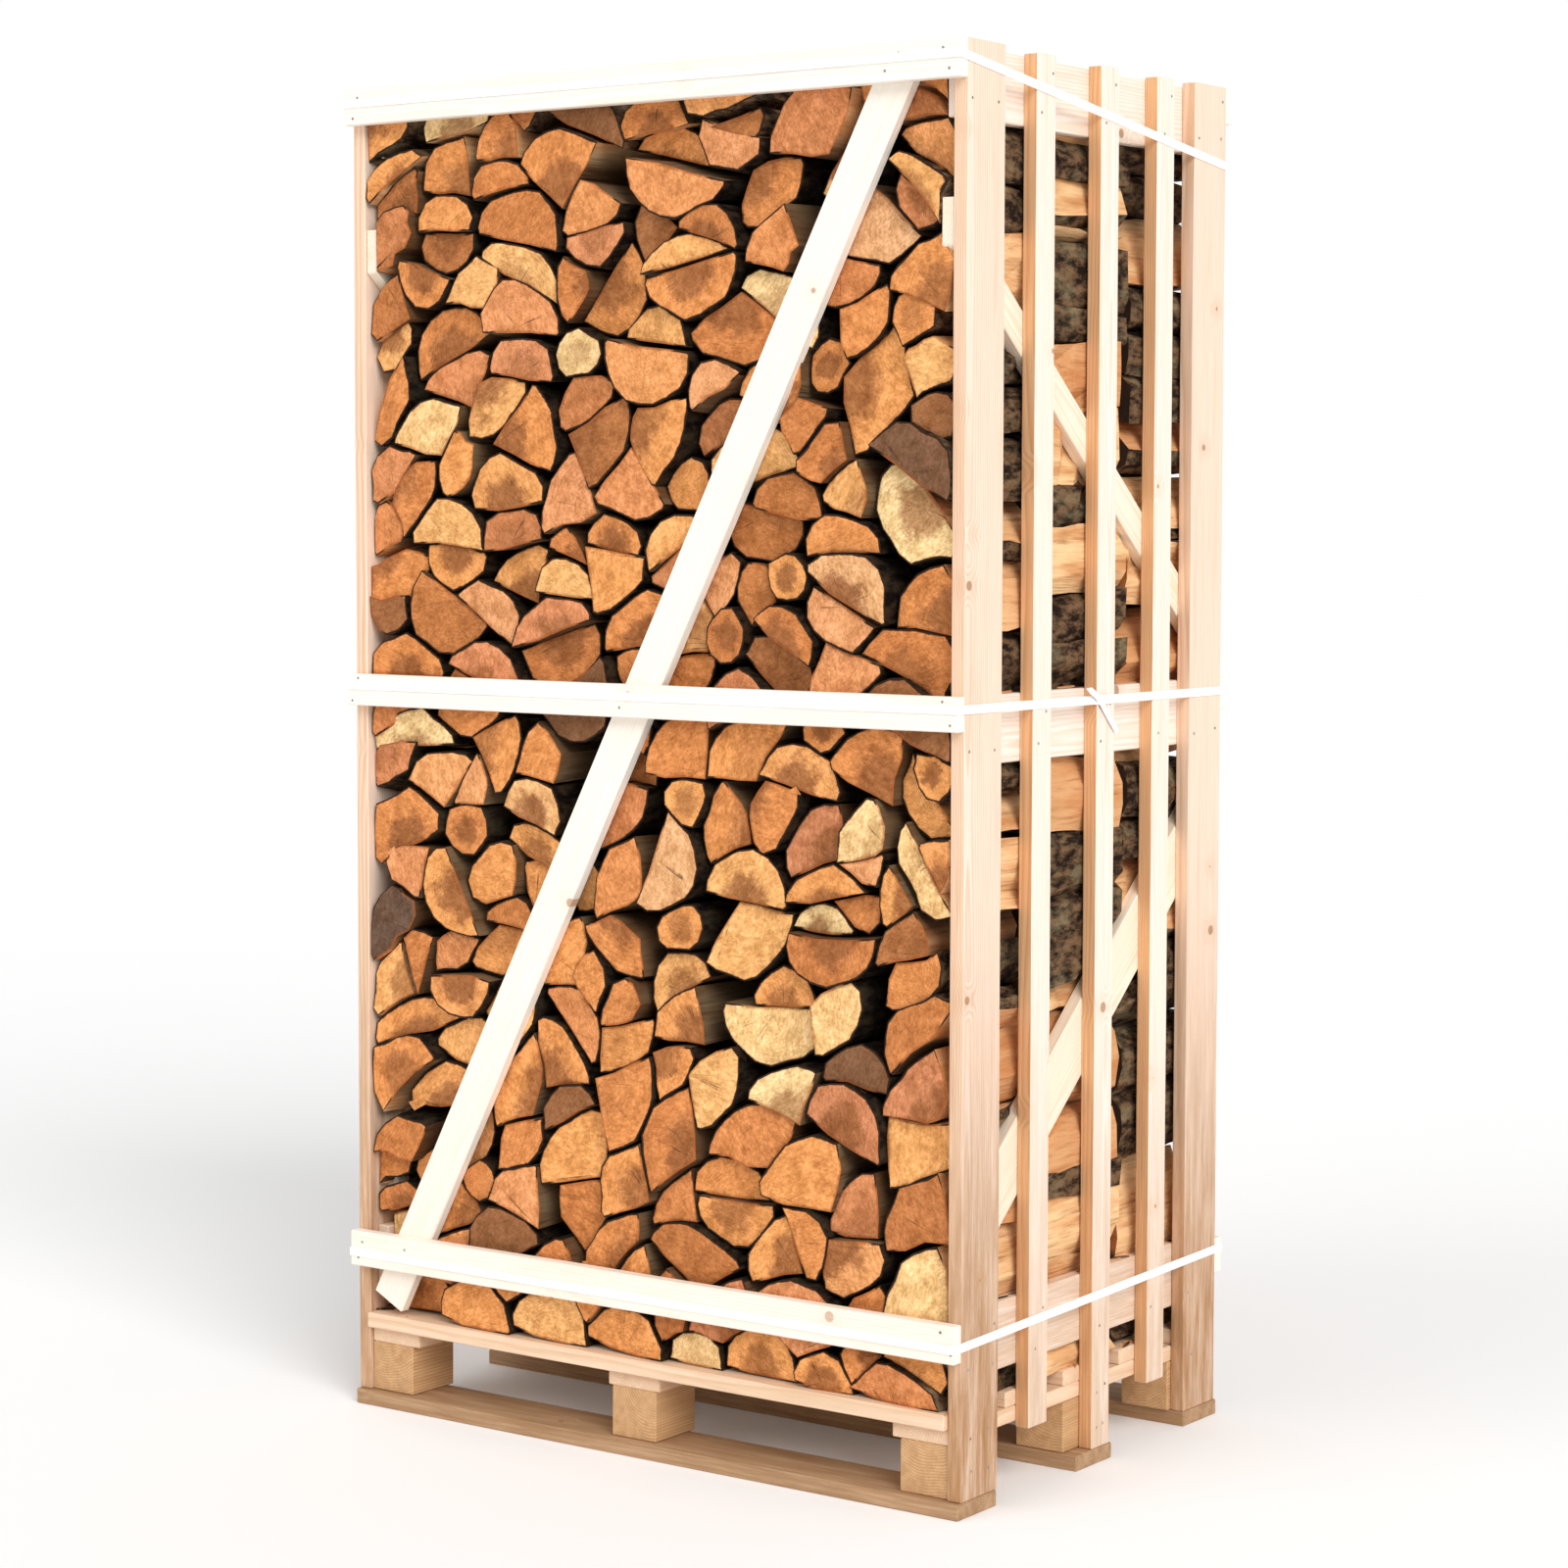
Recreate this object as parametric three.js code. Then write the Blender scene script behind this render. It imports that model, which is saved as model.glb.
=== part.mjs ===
// A tall slatted softwood crate on a block pallet, filled with three rows of split logs
// and bound by three plastic straps. Millimetres, +Z up, the log ends face -Y.
// The origin is on the floor, at the centre of the crate's footprint.
import * as THREE from "three";

// The crate as a whole.
const WIDTH = 1150;
const DEPTH = 780;
const HEIGHT = 2090;
const GAP = 0.3; // between two pieces that touch

// Sawn timber.
const LATH = 20; // thickness of the front and back laths
const BOARD = 24; // thickness of posts, slats, skids, stringboards and deck boards
const CROSS = 22; // thickness of the side cross boards and side braces
const BRACE = 19; // thickness of the front and back braces

// Pallet.
const BLOCK = { wide: 84, deep: 100, high: 78 };
const SKID_WIDE = 104;
const STRINGBOARD_WIDE = 98;
const DECK_WIDE = 100;
const DECK_COUNT = 5;
const DECK_SET_BACK = 12; // deck and skid edges, behind the outer face of the laths
const BLOCK_SET_BACK = 26; // block faces, behind the outer face of the laths
const MIDDLE_LINE = -20; // x of the middle blocks, a little off centre

// Sides.
const POST_WIDE = 98;
const SLAT_WIDE = 51;
const SLAT_SPOTS = [228, 408, 573]; // slat centres, from the front of the crate
const SLAT_BOTTOM = [94, 24, 92]; // the middle slat runs down to its skid
const CROSS_HIGH = 100;
const CROSS_TOPS = [288, 1172, 2084];

// Front and back.
const LATHS = [
  { name: "lower", top: 283, high: 56 },
  { name: "middle", top: 1174, high: 50 },
  { name: "upper", top: HEIGHT, high: 56 },
];
const FRONT_BRACE = { wide: 62, low: [-514, 172], high: [467, 2073] }; // centre line, x and z

// Side braces, as plumb-cut parallelograms: y from the front of the crate, z of the centre line.
const SIDE_BRACES = [
  { name: "lower", wide: 88, from: [62, 372], to: [742, 955] },
  { name: "upper", wide: 52, from: [24, 1839], to: [742, 1240] },
];

// Straps: height at the front and at the back, and the face that the back run lies on.
const STRAP_WIDE = 13;
const STRAP_THICK = 0.9;
const STRAP_CORNER = 0.8; // inner radius at the corners
const STRAPS = [
  { name: "lower", front: 249, back: 267, depth: DEPTH },
  { name: "middle", front: 1156, back: 1153, depth: DEPTH },
  { name: "upper", front: 2067, back: 1969, depth: DEPTH - LATH },
];

// Logs.
const LOG_TOP = 2062;
const ROW_COUNT = 3;

const FRONT = -DEPTH / 2;
const SIDE_NAMES = { [-1]: "left", [1]: "right" };
const SKID_TOP = BOARD;
const BLOCK_TOP = SKID_TOP + BLOCK.high;
const STRINGBOARD_TOP = BLOCK_TOP + BOARD;
const DECK_TOP = STRINGBOARD_TOP + BOARD;
const POST_INSIDE = WIDTH / 2 - BOARD; // inner face of the posts and slats, from the middle
const CROSS_INSIDE = POST_INSIDE - CROSS; // inner face of the cross boards
const BRACE_BACK = LATH + BRACE; // rear face of the front brace, from the front

const wood = (color, roughness = 0.8) =>
  new THREE.MeshStandardMaterial({ color, roughness, metalness: 0 });
const palletWood = wood(0xc9aa80);
const sideWood = wood(0xe6d0ae);
const lathWood = wood(0xf2e6d2);
const logWood = wood(0xc47a3c, 0.85);
const strapPlastic = wood(0xf7f7f5, 0.4);

const crate = new THREE.Group();

function addMesh(name, geometry, material) {
  const mesh = new THREE.Mesh(geometry, material);
  mesh.name = name;
  crate.add(mesh);
  return mesh;
}

// A sawn board with square edges that fills x, y and z ranges, less half a gap on each face.
function addBoard(name, material, [x0, x1], [y0, y1], [z0, z1]) {
  const size = [x1 - x0, y1 - y0, z1 - z0].map((length) => length - GAP);
  const board = addMesh(name, new THREE.BoxGeometry(...size), material);
  board.position.set((x0 + x1) / 2, (y0 + y1) / 2, (z0 + z1) / 2);
  return board;
}

const span = (middle, wide) => [middle - wide / 2, middle + wide / 2];
const fromFront = (start, deep) => [FRONT + start, FRONT + start + deep];
const fromBack = (start, deep) => [-FRONT - start - deep, -FRONT - start];

// Pallet: three skids on the floor, nine blocks, three stringboards and the deck.
const blockDepths = {
  front: fromFront(BLOCK_SET_BACK, BLOCK.deep),
  middle: span(0, BLOCK.deep),
  rear: fromBack(BLOCK_SET_BACK, BLOCK.deep),
};
const blockLines = {
  left: span(-POST_INSIDE + BLOCK.wide / 2, BLOCK.wide),
  middle: span(MIDDLE_LINE, BLOCK.wide),
  right: span(POST_INSIDE - BLOCK.wide / 2, BLOCK.wide),
};
const skidDepths = {
  front: fromFront(DECK_SET_BACK, SKID_WIDE),
  middle: span(0, SKID_WIDE),
  rear: fromBack(DECK_SET_BACK, SKID_WIDE),
};
const stringboardLines = {
  left: span(-POST_INSIDE + STRINGBOARD_WIDE / 2, STRINGBOARD_WIDE),
  middle: span(MIDDLE_LINE, STRINGBOARD_WIDE),
  right: span(POST_INSIDE - STRINGBOARD_WIDE / 2, STRINGBOARD_WIDE),
};

for (const [place, depths] of Object.entries(skidDepths)) {
  const skid = addBoard(`skid_${place}`, palletWood, span(0, WIDTH), depths, [0, SKID_TOP]);
  skid.position.z -= GAP / 2; // its underside is the floor
}
for (const [place, depths] of Object.entries(blockDepths)) {
  for (const [line, widths] of Object.entries(blockLines)) {
    addBoard(`block_${place}_${line}`, palletWood, widths, depths, [SKID_TOP, BLOCK_TOP]);
  }
}
const palletDepths = [FRONT + BLOCK_SET_BACK, -FRONT - BLOCK_SET_BACK];
for (const [line, widths] of Object.entries(stringboardLines)) {
  addBoard(`stringboard_${line}`, palletWood, widths, palletDepths, [BLOCK_TOP, STRINGBOARD_TOP]);
}
const deckStep = (DEPTH - 2 * DECK_SET_BACK - DECK_WIDE) / (DECK_COUNT - 1);
for (let i = 0; i < DECK_COUNT; i++) {
  const depths = fromFront(DECK_SET_BACK + i * deckStep, DECK_WIDE);
  const widths = [-POST_INSIDE, POST_INSIDE];
  addBoard(`deck_board_${i + 1}`, palletWood, widths, depths, [STRINGBOARD_TOP, DECK_TOP]);
}

// Sides: posts and slats outside, cross boards and braces nailed behind them.
for (const side of [-1, 1]) {
  const name = SIDE_NAMES[side];
  const outer = span((side * (WIDTH / 2 + POST_INSIDE)) / 2, BOARD);
  const inner = span((side * (POST_INSIDE + CROSS_INSIDE)) / 2, CROSS);

  addBoard(`post_front_${name}`, sideWood, outer, fromFront(LATH, POST_WIDE), [SKID_TOP, HEIGHT]);
  addBoard(`post_rear_${name}`, sideWood, outer, fromBack(LATH, POST_WIDE), [SKID_TOP, HEIGHT]);
  SLAT_SPOTS.forEach((spot, i) => {
    const depths = fromFront(spot - SLAT_WIDE / 2, SLAT_WIDE);
    addBoard(`slat_${name}_${i + 1}`, sideWood, outer, depths, [SLAT_BOTTOM[i], HEIGHT - 2]);
  });

  ["lower", "middle", "upper"].forEach((place, i) => {
    const heights = [CROSS_TOPS[i] - CROSS_HIGH, CROSS_TOPS[i]];
    const depths = [FRONT + BRACE_BACK, -FRONT - BRACE_BACK];
    addBoard(`cross_board_${place}_${name}`, sideWood, inner, depths, heights);
  });

  for (const { name: place, wide, from, to } of SIDE_BRACES) {
    const slope = Math.atan2(to[1] - from[1], to[0] - from[0]);
    const half = wide / 2 / Math.cos(slope); // plumb half height of the board
    const outline = new THREE.Shape([
      new THREE.Vector2(FRONT + from[0], from[1] - half),
      new THREE.Vector2(FRONT + to[0], to[1] - half),
      new THREE.Vector2(FRONT + to[0], to[1] + half),
      new THREE.Vector2(FRONT + from[0], from[1] + half),
    ]);
    const depth = CROSS - GAP;
    const geometry = new THREE.ExtrudeGeometry(outline, { depth, bevelEnabled: false });
    // The outline's plane becomes Y and Z, and the thickness runs along X.
    geometry.rotateX(Math.PI / 2).rotateZ(Math.PI / 2);
    const brace = addMesh(`side_brace_${place}_${name}`, geometry, sideWood);
    brace.position.x = inner[0] + GAP / 2;
  }
}

// Front and back: three laths over the ends of the posts, and one brace behind them.
for (const [face, across] of Object.entries({ front: fromFront, back: fromBack })) {
  for (const { name, top, high } of LATHS) {
    addBoard(`${face}_lath_${name}`, lathWood, span(0, WIDTH), across(0, LATH), [top - high, top]);
  }
  const turn = face === "front" ? 1 : -1;
  const low = new THREE.Vector3(turn * FRONT_BRACE.low[0], 0, FRONT_BRACE.low[1]);
  const high = new THREE.Vector3(turn * FRONT_BRACE.high[0], 0, FRONT_BRACE.high[1]);
  const size = [FRONT_BRACE.wide, BRACE - GAP, low.distanceTo(high)];
  const brace = addMesh(`${face}_brace`, new THREE.BoxGeometry(...size), lathWood);
  const depths = across(LATH, BRACE);
  brace.position.addVectors(low, high).multiplyScalar(0.5);
  brace.position.y = (depths[0] + depths[1]) / 2;
  brace.rotation.y = Math.atan2(high.x - low.x, high.z - low.z);
}

// A rectangle of the given half width that runs from y0 to y1, with rounded corners.
function roundedRectangle(PathType, halfWidth, y0, y1, radius) {
  const path = new PathType();
  path.moveTo(-halfWidth + radius, y0);
  path.lineTo(halfWidth - radius, y0);
  path.absarc(halfWidth - radius, y0 + radius, radius, -Math.PI / 2, 0);
  path.lineTo(halfWidth, y1 - radius);
  path.absarc(halfWidth - radius, y1 - radius, radius, 0, Math.PI / 2);
  path.lineTo(-halfWidth + radius, y1);
  path.absarc(-halfWidth + radius, y1 - radius, radius, Math.PI / 2, Math.PI);
  path.lineTo(-halfWidth, y0 + radius);
  path.absarc(-halfWidth + radius, y0 + radius, radius, Math.PI, 1.5 * Math.PI);
  return path;
}

// Straps: flat plastic bands pulled tight round the crate, the upper one sloping to the back.
for (const { name, front, back, depth } of STRAPS) {
  const inside = [WIDTH / 2 + GAP, FRONT - GAP, FRONT + depth + GAP];
  const outside = [inside[0] + STRAP_THICK, inside[1] - STRAP_THICK, inside[2] + STRAP_THICK];
  const outline = roundedRectangle(THREE.Shape, ...outside, STRAP_CORNER + STRAP_THICK);
  outline.holes.push(roundedRectangle(THREE.Path, ...inside, STRAP_CORNER));
  const settings = { depth: STRAP_WIDE, bevelEnabled: false, curveSegments: 3 };
  const geometry = new THREE.ExtrudeGeometry(outline, settings);
  const slope = (back - front) / depth;
  const shear = new THREE.Matrix4().set(1, 0, 0, 0, 0, 1, 0, 0, 0, slope, 1, 0, 0, 0, 0, 1);
  geometry.translate(0, -FRONT, 0).applyMatrix4(shear).translate(0, FRONT, 0);
  const strap = addMesh(`strap_${name}`, geometry, strapPlastic);
  strap.position.z = front - STRAP_WIDE / 2;
}

// Logs: one solid for each row, as large as its stacked logs.
const rowDeep = (DEPTH - 2 * BRACE_BACK - 2 * GAP) / ROW_COUNT;
["front", "middle", "rear"].forEach((place, i) => {
  const depths = fromFront(BRACE_BACK + GAP + i * rowDeep, rowDeep);
  const widths = [-CROSS_INSIDE, CROSS_INSIDE];
  addBoard(`logs_${place}_row`, logWood, widths, depths, [DECK_TOP, LOG_TOP]);
});

export default crate;
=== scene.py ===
import math
import random

import bmesh
import bpy
import numpy as np
from mathutils import Matrix, Vector, kdtree, noise


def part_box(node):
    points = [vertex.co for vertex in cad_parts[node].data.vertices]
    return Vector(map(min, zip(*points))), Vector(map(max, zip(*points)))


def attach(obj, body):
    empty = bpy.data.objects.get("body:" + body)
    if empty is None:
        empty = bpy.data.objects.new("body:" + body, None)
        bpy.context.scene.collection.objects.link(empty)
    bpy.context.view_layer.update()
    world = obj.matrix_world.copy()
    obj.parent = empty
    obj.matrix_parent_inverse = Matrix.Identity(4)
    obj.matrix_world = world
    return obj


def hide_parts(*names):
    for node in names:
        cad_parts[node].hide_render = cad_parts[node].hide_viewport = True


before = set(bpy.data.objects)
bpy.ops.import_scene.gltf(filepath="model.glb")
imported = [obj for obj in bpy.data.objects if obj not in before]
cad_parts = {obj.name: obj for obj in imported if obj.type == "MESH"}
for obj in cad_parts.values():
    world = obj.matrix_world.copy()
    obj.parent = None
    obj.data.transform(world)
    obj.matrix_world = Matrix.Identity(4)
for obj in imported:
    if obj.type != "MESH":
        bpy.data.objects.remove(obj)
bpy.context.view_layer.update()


# Skids. Three rough softwood boards lie flat on the floor under the front, the middle and the
# rear of the pallet. They are the lowest and dirtiest timber, nailed up into the blocks.
chance = random.Random(11)  # draws the small faults of the timber
noise.seed_set(2)  # the ripples and tears of the wood come out the same in each run


def plug_in(tree, node, sockets):
    """Gives a node's sockets their values, or links them to other nodes' outputs."""
    for name, value in sockets.items():
        if isinstance(value, bpy.types.NodeSocket):
            tree.links.new(value, node.inputs[name])
        else:
            node.inputs[name].default_value = value


def add_node(tree, kind, sockets=None, **settings):
    """A shader node with its settings and sockets."""
    made = tree.nodes.new(kind)
    for name, value in settings.items():
        setattr(made, name, value)
    plug_in(tree, made, sockets or {})
    return made


def maths(tree, operation, *values):
    """The result of one sum on values or on other nodes' outputs."""
    return add_node(tree, "ShaderNodeMath", dict(enumerate(values)), operation=operation).outputs[0]


def stretch(tree, vector, x, y, z):
    """The same place, measured in longer or shorter steps along each axis."""
    sockets = {0: vector, 1: (x, y, z)}
    return add_node(tree, "ShaderNodeVectorMath", sockets, operation="MULTIPLY").outputs[0]


def speckle(tree, vector, scale, detail=2.0, roughness=0.5):
    """Cloudy noise between 0 and 1."""
    sockets = {"Vector": vector, "Scale": scale, "Detail": detail, "Roughness": roughness}
    return add_node(tree, "ShaderNodeTexNoise", sockets).outputs["Fac"]


def ease(tree, value, start, end, low=0.0, high=1.0):
    """Goes smoothly from low to high as value goes from start to end."""
    sockets = {"Value": value, "From Min": start, "From Max": end, "To Min": low, "To Max": high}
    settings = {"interpolation_type": "SMOOTHSTEP", "clamp": True}
    return add_node(tree, "ShaderNodeMapRange", sockets, **settings).outputs["Result"]


def blend_colour(tree, share, first, second, how="MIX"):
    """Two colours mixed by a share from 0 to 1."""
    sockets = {0: share, 6: first, 7: second}
    return add_node(tree, "ShaderNodeMix", sockets, data_type="RGBA", blend_type=how).outputs[2]


def painted(tree, name, output="Fac"):
    """What is kept on the mesh under that name."""
    return add_node(tree, "ShaderNodeAttribute", attribute_name=name).outputs[output]


def relief(tree, height, strength, distance):
    """Fine relief for a shader."""
    sockets = {"Strength": strength, "Distance": distance, "Height": height}
    return add_node(tree, "ShaderNodeBump", sockets).outputs[0]


def darken(tree, colour, shade):
    """A colour made darker or lighter by the number shade."""
    grey = add_node(tree, "ShaderNodeCombineColor", {0: shade, 1: shade, 2: shade}).outputs[0]
    return blend_colour(tree, 1.0, colour, grey, "MULTIPLY")


def from_centre(tree, across, up):
    """The distance of a point from the centre line."""
    squares = [maths(tree, "POWER", part, 2.0) for part in (across, up)]
    return maths(tree, "SQRT", maths(tree, "ADD", *squares))


def linear(red, green, blue):
    """A colour given as the usual 0 to 255 numbers, as the shader wants it."""
    parts = [c / 255 for c in (red, green, blue)]
    return (*[c / 12.92 if c <= 0.04045 else ((c + 0.055) / 1.055) ** 2.4 for c in parts], 1.0)


KNOTS_A_METRE = 3.6
KNOT_SIZE = 0.032  # the radius of the largest
RING_WIDTH = 0.0042


def softwood_group():
    """Sawn softwood: growth rings round a heart line, through knots, fine fibres and dirt."""
    tree = bpy.data.node_groups.new("Softwood", "ShaderNodeTree")
    face = tree.interface
    face.new_socket(name="Grain", in_out="INPUT", socket_type="NodeSocketVector")
    for name in ("Pale", "Late Wood", "Knot", "Weathered"):
        face.new_socket(name=name, in_out="INPUT", socket_type="NodeSocketColor")
    for name in ("Ring Depth", "Weathering"):
        face.new_socket(name=name, in_out="INPUT", socket_type="NodeSocketFloat")
    face.new_socket(name="Color", in_out="OUTPUT", socket_type="NodeSocketColor")
    for name in ("Roughness", "Height"):
        face.new_socket(name=name, in_out="OUTPUT", socket_type="NodeSocketFloat")
    given = add_node(tree, "NodeGroupInput").outputs
    grain = given["Grain"]
    parts = add_node(tree, "ShaderNodeSeparateXYZ", {0: grain}).outputs

    # One knot in about every 0.3 m of board, that runs right through it.
    knots = add_node(tree, "ShaderNodeTexVoronoi", {"Vector": grain, "Scale": KNOTS_A_METRE},
                     voronoi_dimensions="2D")
    size = maths(tree, "MULTIPLY", add_node(
        tree, "ShaderNodeSeparateColor", {0: knots.outputs["Color"]}).outputs[0], KNOT_SIZE)
    beyond = maths(tree, "SUBTRACT", knots.outputs["Distance"], size)
    knot = ease(tree, beyond, 0.006, -0.004)
    halo = ease(tree, beyond, 0.1, 0.0)

    heart = from_centre(tree, parts[1], parts[2])
    drift = speckle(tree, stretch(tree, grain, 1.6, 13.0, 13.0), 1.0, 2.0)
    reach = maths(tree, "MULTIPLY_ADD", drift, 0.02, heart)
    reach = maths(tree, "MULTIPLY_ADD", halo, 0.008, reach)
    ring = maths(tree, "FRACT", maths(tree, "DIVIDE", reach, RING_WIDTH))
    late = maths(tree, "MULTIPLY", ease(tree, ring, 0.25, 0.85), ease(tree, ring, 1.0, 0.9))

    fibre = speckle(tree, stretch(tree, grain, 14.0, 700.0, 700.0), 1.0, 2.0, 0.6)
    streak = speckle(tree, stretch(tree, grain, 2.2, 55.0, 55.0), 1.0, 3.0, 0.6)
    patch = speckle(tree, stretch(tree, grain, 5.0, 60.0, 60.0), 1.0, 6.0, 0.72)

    wood = blend_colour(tree, maths(tree, "MULTIPLY", late, given["Ring Depth"]),
                        given["Pale"], given["Late Wood"])
    streaks = maths(tree, "MULTIPLY", ease(tree, streak, 0.5, 0.8), given["Ring Depth"])
    wood = blend_colour(tree, streaks, wood, given["Late Wood"])
    wood = blend_colour(tree, maths(tree, "MULTIPLY", halo, 0.3), wood, given["Late Wood"])
    wood = blend_colour(tree, maths(tree, "MULTIPLY", knot, 0.75), wood, given["Knot"])
    grime = maths(tree, "MULTIPLY", ease(tree, patch, 0.25, 0.7, 0.35, 1.0), given["Weathering"])
    wood = blend_colour(tree, grime, wood, given["Weathered"])
    wood = darken(tree, wood, ease(tree, fibre, 0.3, 0.7, 0.93, 1.03))

    height = maths(tree, "MULTIPLY_ADD", late, 0.35, maths(tree, "MULTIPLY", fibre, 0.6))
    result = {"Color": wood, "Roughness": ease(tree, fibre, 0.2, 0.8, 0.55, 0.82), "Height": height}
    add_node(tree, "NodeGroupOutput", result)
    return tree


softwood = softwood_group()


def new_finish(name):
    """A new material, its tree of nodes and its shader."""
    finish = bpy.data.materials.new(name)
    finish.use_nodes = True
    return finish, finish.node_tree, finish.node_tree.nodes["Principled BSDF"]


def sawn_timber(name, pale, late, knot, weathered, ring_depth, dirt):
    """A sawn softwood. dirt holds a low and a high place, each a height and how dirty it is."""
    wood, tree, shader = new_finish(name)
    (foot, most), (top, least) = dirt
    grain = painted(tree, "grain", "Vector")
    place = add_node(tree, "ShaderNodeTexCoord").outputs["Object"]
    height = add_node(tree, "ShaderNodeSeparateXYZ", {0: place}).outputs[2]
    effect = add_node(tree, "ShaderNodeGroup", {
        "Grain": grain, "Pale": linear(*pale), "Late Wood": linear(*late), "Knot": linear(*knot),
        "Weathered": linear(*weathered), "Ring Depth": ring_depth,
        "Weathering": ease(tree, height, foot, top, most, least)}, node_tree=softwood).outputs
    plug_in(tree, shader, {"Base Color": effect["Color"], "Roughness": effect["Roughness"],
                           "Normal": relief(tree, effect["Height"], 0.5, 0.0008),
                           "Specular IOR Level": 0.3})
    return wood


def finish_piece(name, bm, finishes, slot, *nodes):
    """Turns bm into a piece of the crate that stands for the CAD nodes."""
    mesh = bpy.data.meshes.new(name)
    bm.to_mesh(mesh)
    bm.free()
    piece = bpy.data.objects.new(name, mesh)
    bpy.context.scene.collection.objects.link(piece)
    for finish in finishes:
        mesh.materials.append(finish)
    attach(piece, "root")
    if nodes:
        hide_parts(*nodes)
    return piece


def everything(bm):
    """All of a mesh, to be cut."""
    return bm.verts[:] + bm.edges[:] + bm.faces[:]


ARRIS = 0.0016  # how much is worn off a board's edges
BEND_EVERY = 0.14  # along a board that isn't quite straight


def plank(size, place, trim=(), edged=False):
    """A sawn board of that length, width and thickness: not quite straight, with worn edges.

    It is made lying along X, and place puts it in the crate. trim holds planes that cut its ends.
    The narrow sides of an edged board take the second of its two finishes.
    """
    length, width, thick = size
    bm = bmesh.new()
    bmesh.ops.create_cube(bm, size=1, matrix=Matrix.Diagonal((length, width, thick, 1)))
    for point, outward in trim:
        cut = bmesh.ops.bisect_plane(bm, geom=everything(bm), plane_co=point, plane_no=outward,
                                     clear_outer=True)
        loop = [e for e in cut["geom_cut"] if isinstance(e, bmesh.types.BMEdge)]
        bmesh.ops.holes_fill(bm, edges=loop, sides=0)
    bmesh.ops.bevel(bm, geom=bm.edges[:], offset=min(ARRIS, thick * 0.08), segments=1, profile=0.5,
                    affect="EDGES", material=-1)
    steps = max(1, round(length / BEND_EVERY))
    for i in range(1, steps):
        point = (length * (i / steps - 0.5), 0, 0)
        bmesh.ops.bisect_plane(bm, geom=everything(bm), plane_co=point, plane_no=(1, 0, 0))
    seed = Vector((chance.uniform(0, 40), chance.uniform(0, 40), chance.uniform(0, 40)))
    heart = Vector((seed.x, chance.uniform(-0.5, 0.5) * width, chance.uniform(0.4, 1.6) * thick))
    grain = bm.verts.layers.float_vector.new("grain")
    for v in bm.verts:
        v[grain] = v.co + heart
    bm.normal_update()
    for f in bm.faces:
        f.material_index = 1 if edged and abs(f.normal.y) > 0.8 else 0
    for v in bm.verts:
        ripple = noise.noise_vector(Vector((v.co.x * 4, v.co.y * 9, v.co.z * 9)) + seed)
        v.co.y += ripple.y * 0.0009
        v.co.z += ripple.z * 0.0005
    bmesh.ops.transform(bm, matrix=place, verts=bm.verts)
    return bm


def board(node, slot, *woods):
    """A board that fills the box of its CAD node, with the grain along its longest side."""
    low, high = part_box(node)
    size = high - low
    along, across, through = sorted(range(3), key=lambda axis: -size[axis])
    turn = Matrix(((0,) * 3,) * 3)
    for column, axis in enumerate((along, across, through)):
        turn[axis][column] = 1
    if turn.determinant() < 0:
        turn[through][2] = -1
    place = Matrix.Translation((low + high) / 2) @ turn.to_4x4()
    bm = plank((size[along], size[across], size[through]), place, edged=len(woods) > 1)
    return finish_piece(node + "_sawn", bm, woods, slot, node)


skid_wood = sawn_timber(
    "Skid timber", pale=(214, 180, 144), late=(186, 142, 100), knot=(120, 82, 52),
    weathered=(152, 114, 78), ring_depth=0.6, dirt=((0.0, 0.9), (0.2, 0.75)))
for line in ("front", "middle", "rear"):
    board(f"skid_{line}", "pallet_timber", skid_wood)


# Blocks. Nine short lengths of square softwood, cut from one bar so that their end grain faces
# the front. They hold the deck off the skids, and are nailed from above and from below.
block_wood = sawn_timber(
    "Block timber", pale=(236, 194, 146), late=(196, 146, 98), knot=(116, 76, 44),
    weathered=(168, 126, 84), ring_depth=0.75, dirt=((0.0, 0.7), (0.2, 0.5)))
for line in ("front", "middle", "rear"):
    for side in ("left", "middle", "right"):
        board(f"block_{line}_{side}", "pallet_timber", block_wood)


# Stringboards and deck. Three boards run from front to back over the blocks, and five deck
# boards lie across them. The logs stand on these, and the nails come from above.
deck_wood = sawn_timber(
    "Deck timber", pale=(250, 222, 194), late=(224, 184, 144), knot=(150, 106, 72),
    weathered=(206, 164, 124), ring_depth=0.55, dirt=((0.1, 0.45), (0.2, 0.35)))
for side in ("left", "middle", "right"):
    board(f"stringboard_{side}", "pallet_timber", deck_wood)
for number in range(1, 6):
    board(f"deck_board_{number}", "pallet_timber", deck_wood)


# Corner posts. Four tall sawn boards stand on the skids, flat side out. They are nailed to the
# ends of the cross boards and to the stringboards, and are dirty near the floor.
side_wood = sawn_timber(
    "Side timber", pale=(250, 226, 206), late=(226, 184, 150), knot=(160, 112, 76),
    weathered=(168, 120, 74), ring_depth=0.5, dirt=((0.1, 1.0), (1.0, 0.06)))
# The narrow sides take a warmer, darker copy of the face timber: partly their own edge grain,
# partly painted warm bounce light.
side_edge = sawn_timber(
    "Side timber edge", pale=(248, 216, 188), late=(222, 176, 136), knot=(146, 98, 64),
    weathered=(168, 120, 74), ring_depth=0.6, dirt=((0.1, 0.95), (1.0, 0.12)))
for line in ("front", "rear"):
    for side in ("left", "right"):
        board(f"post_{line}_{side}", "side_timber", side_wood, side_edge)


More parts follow.
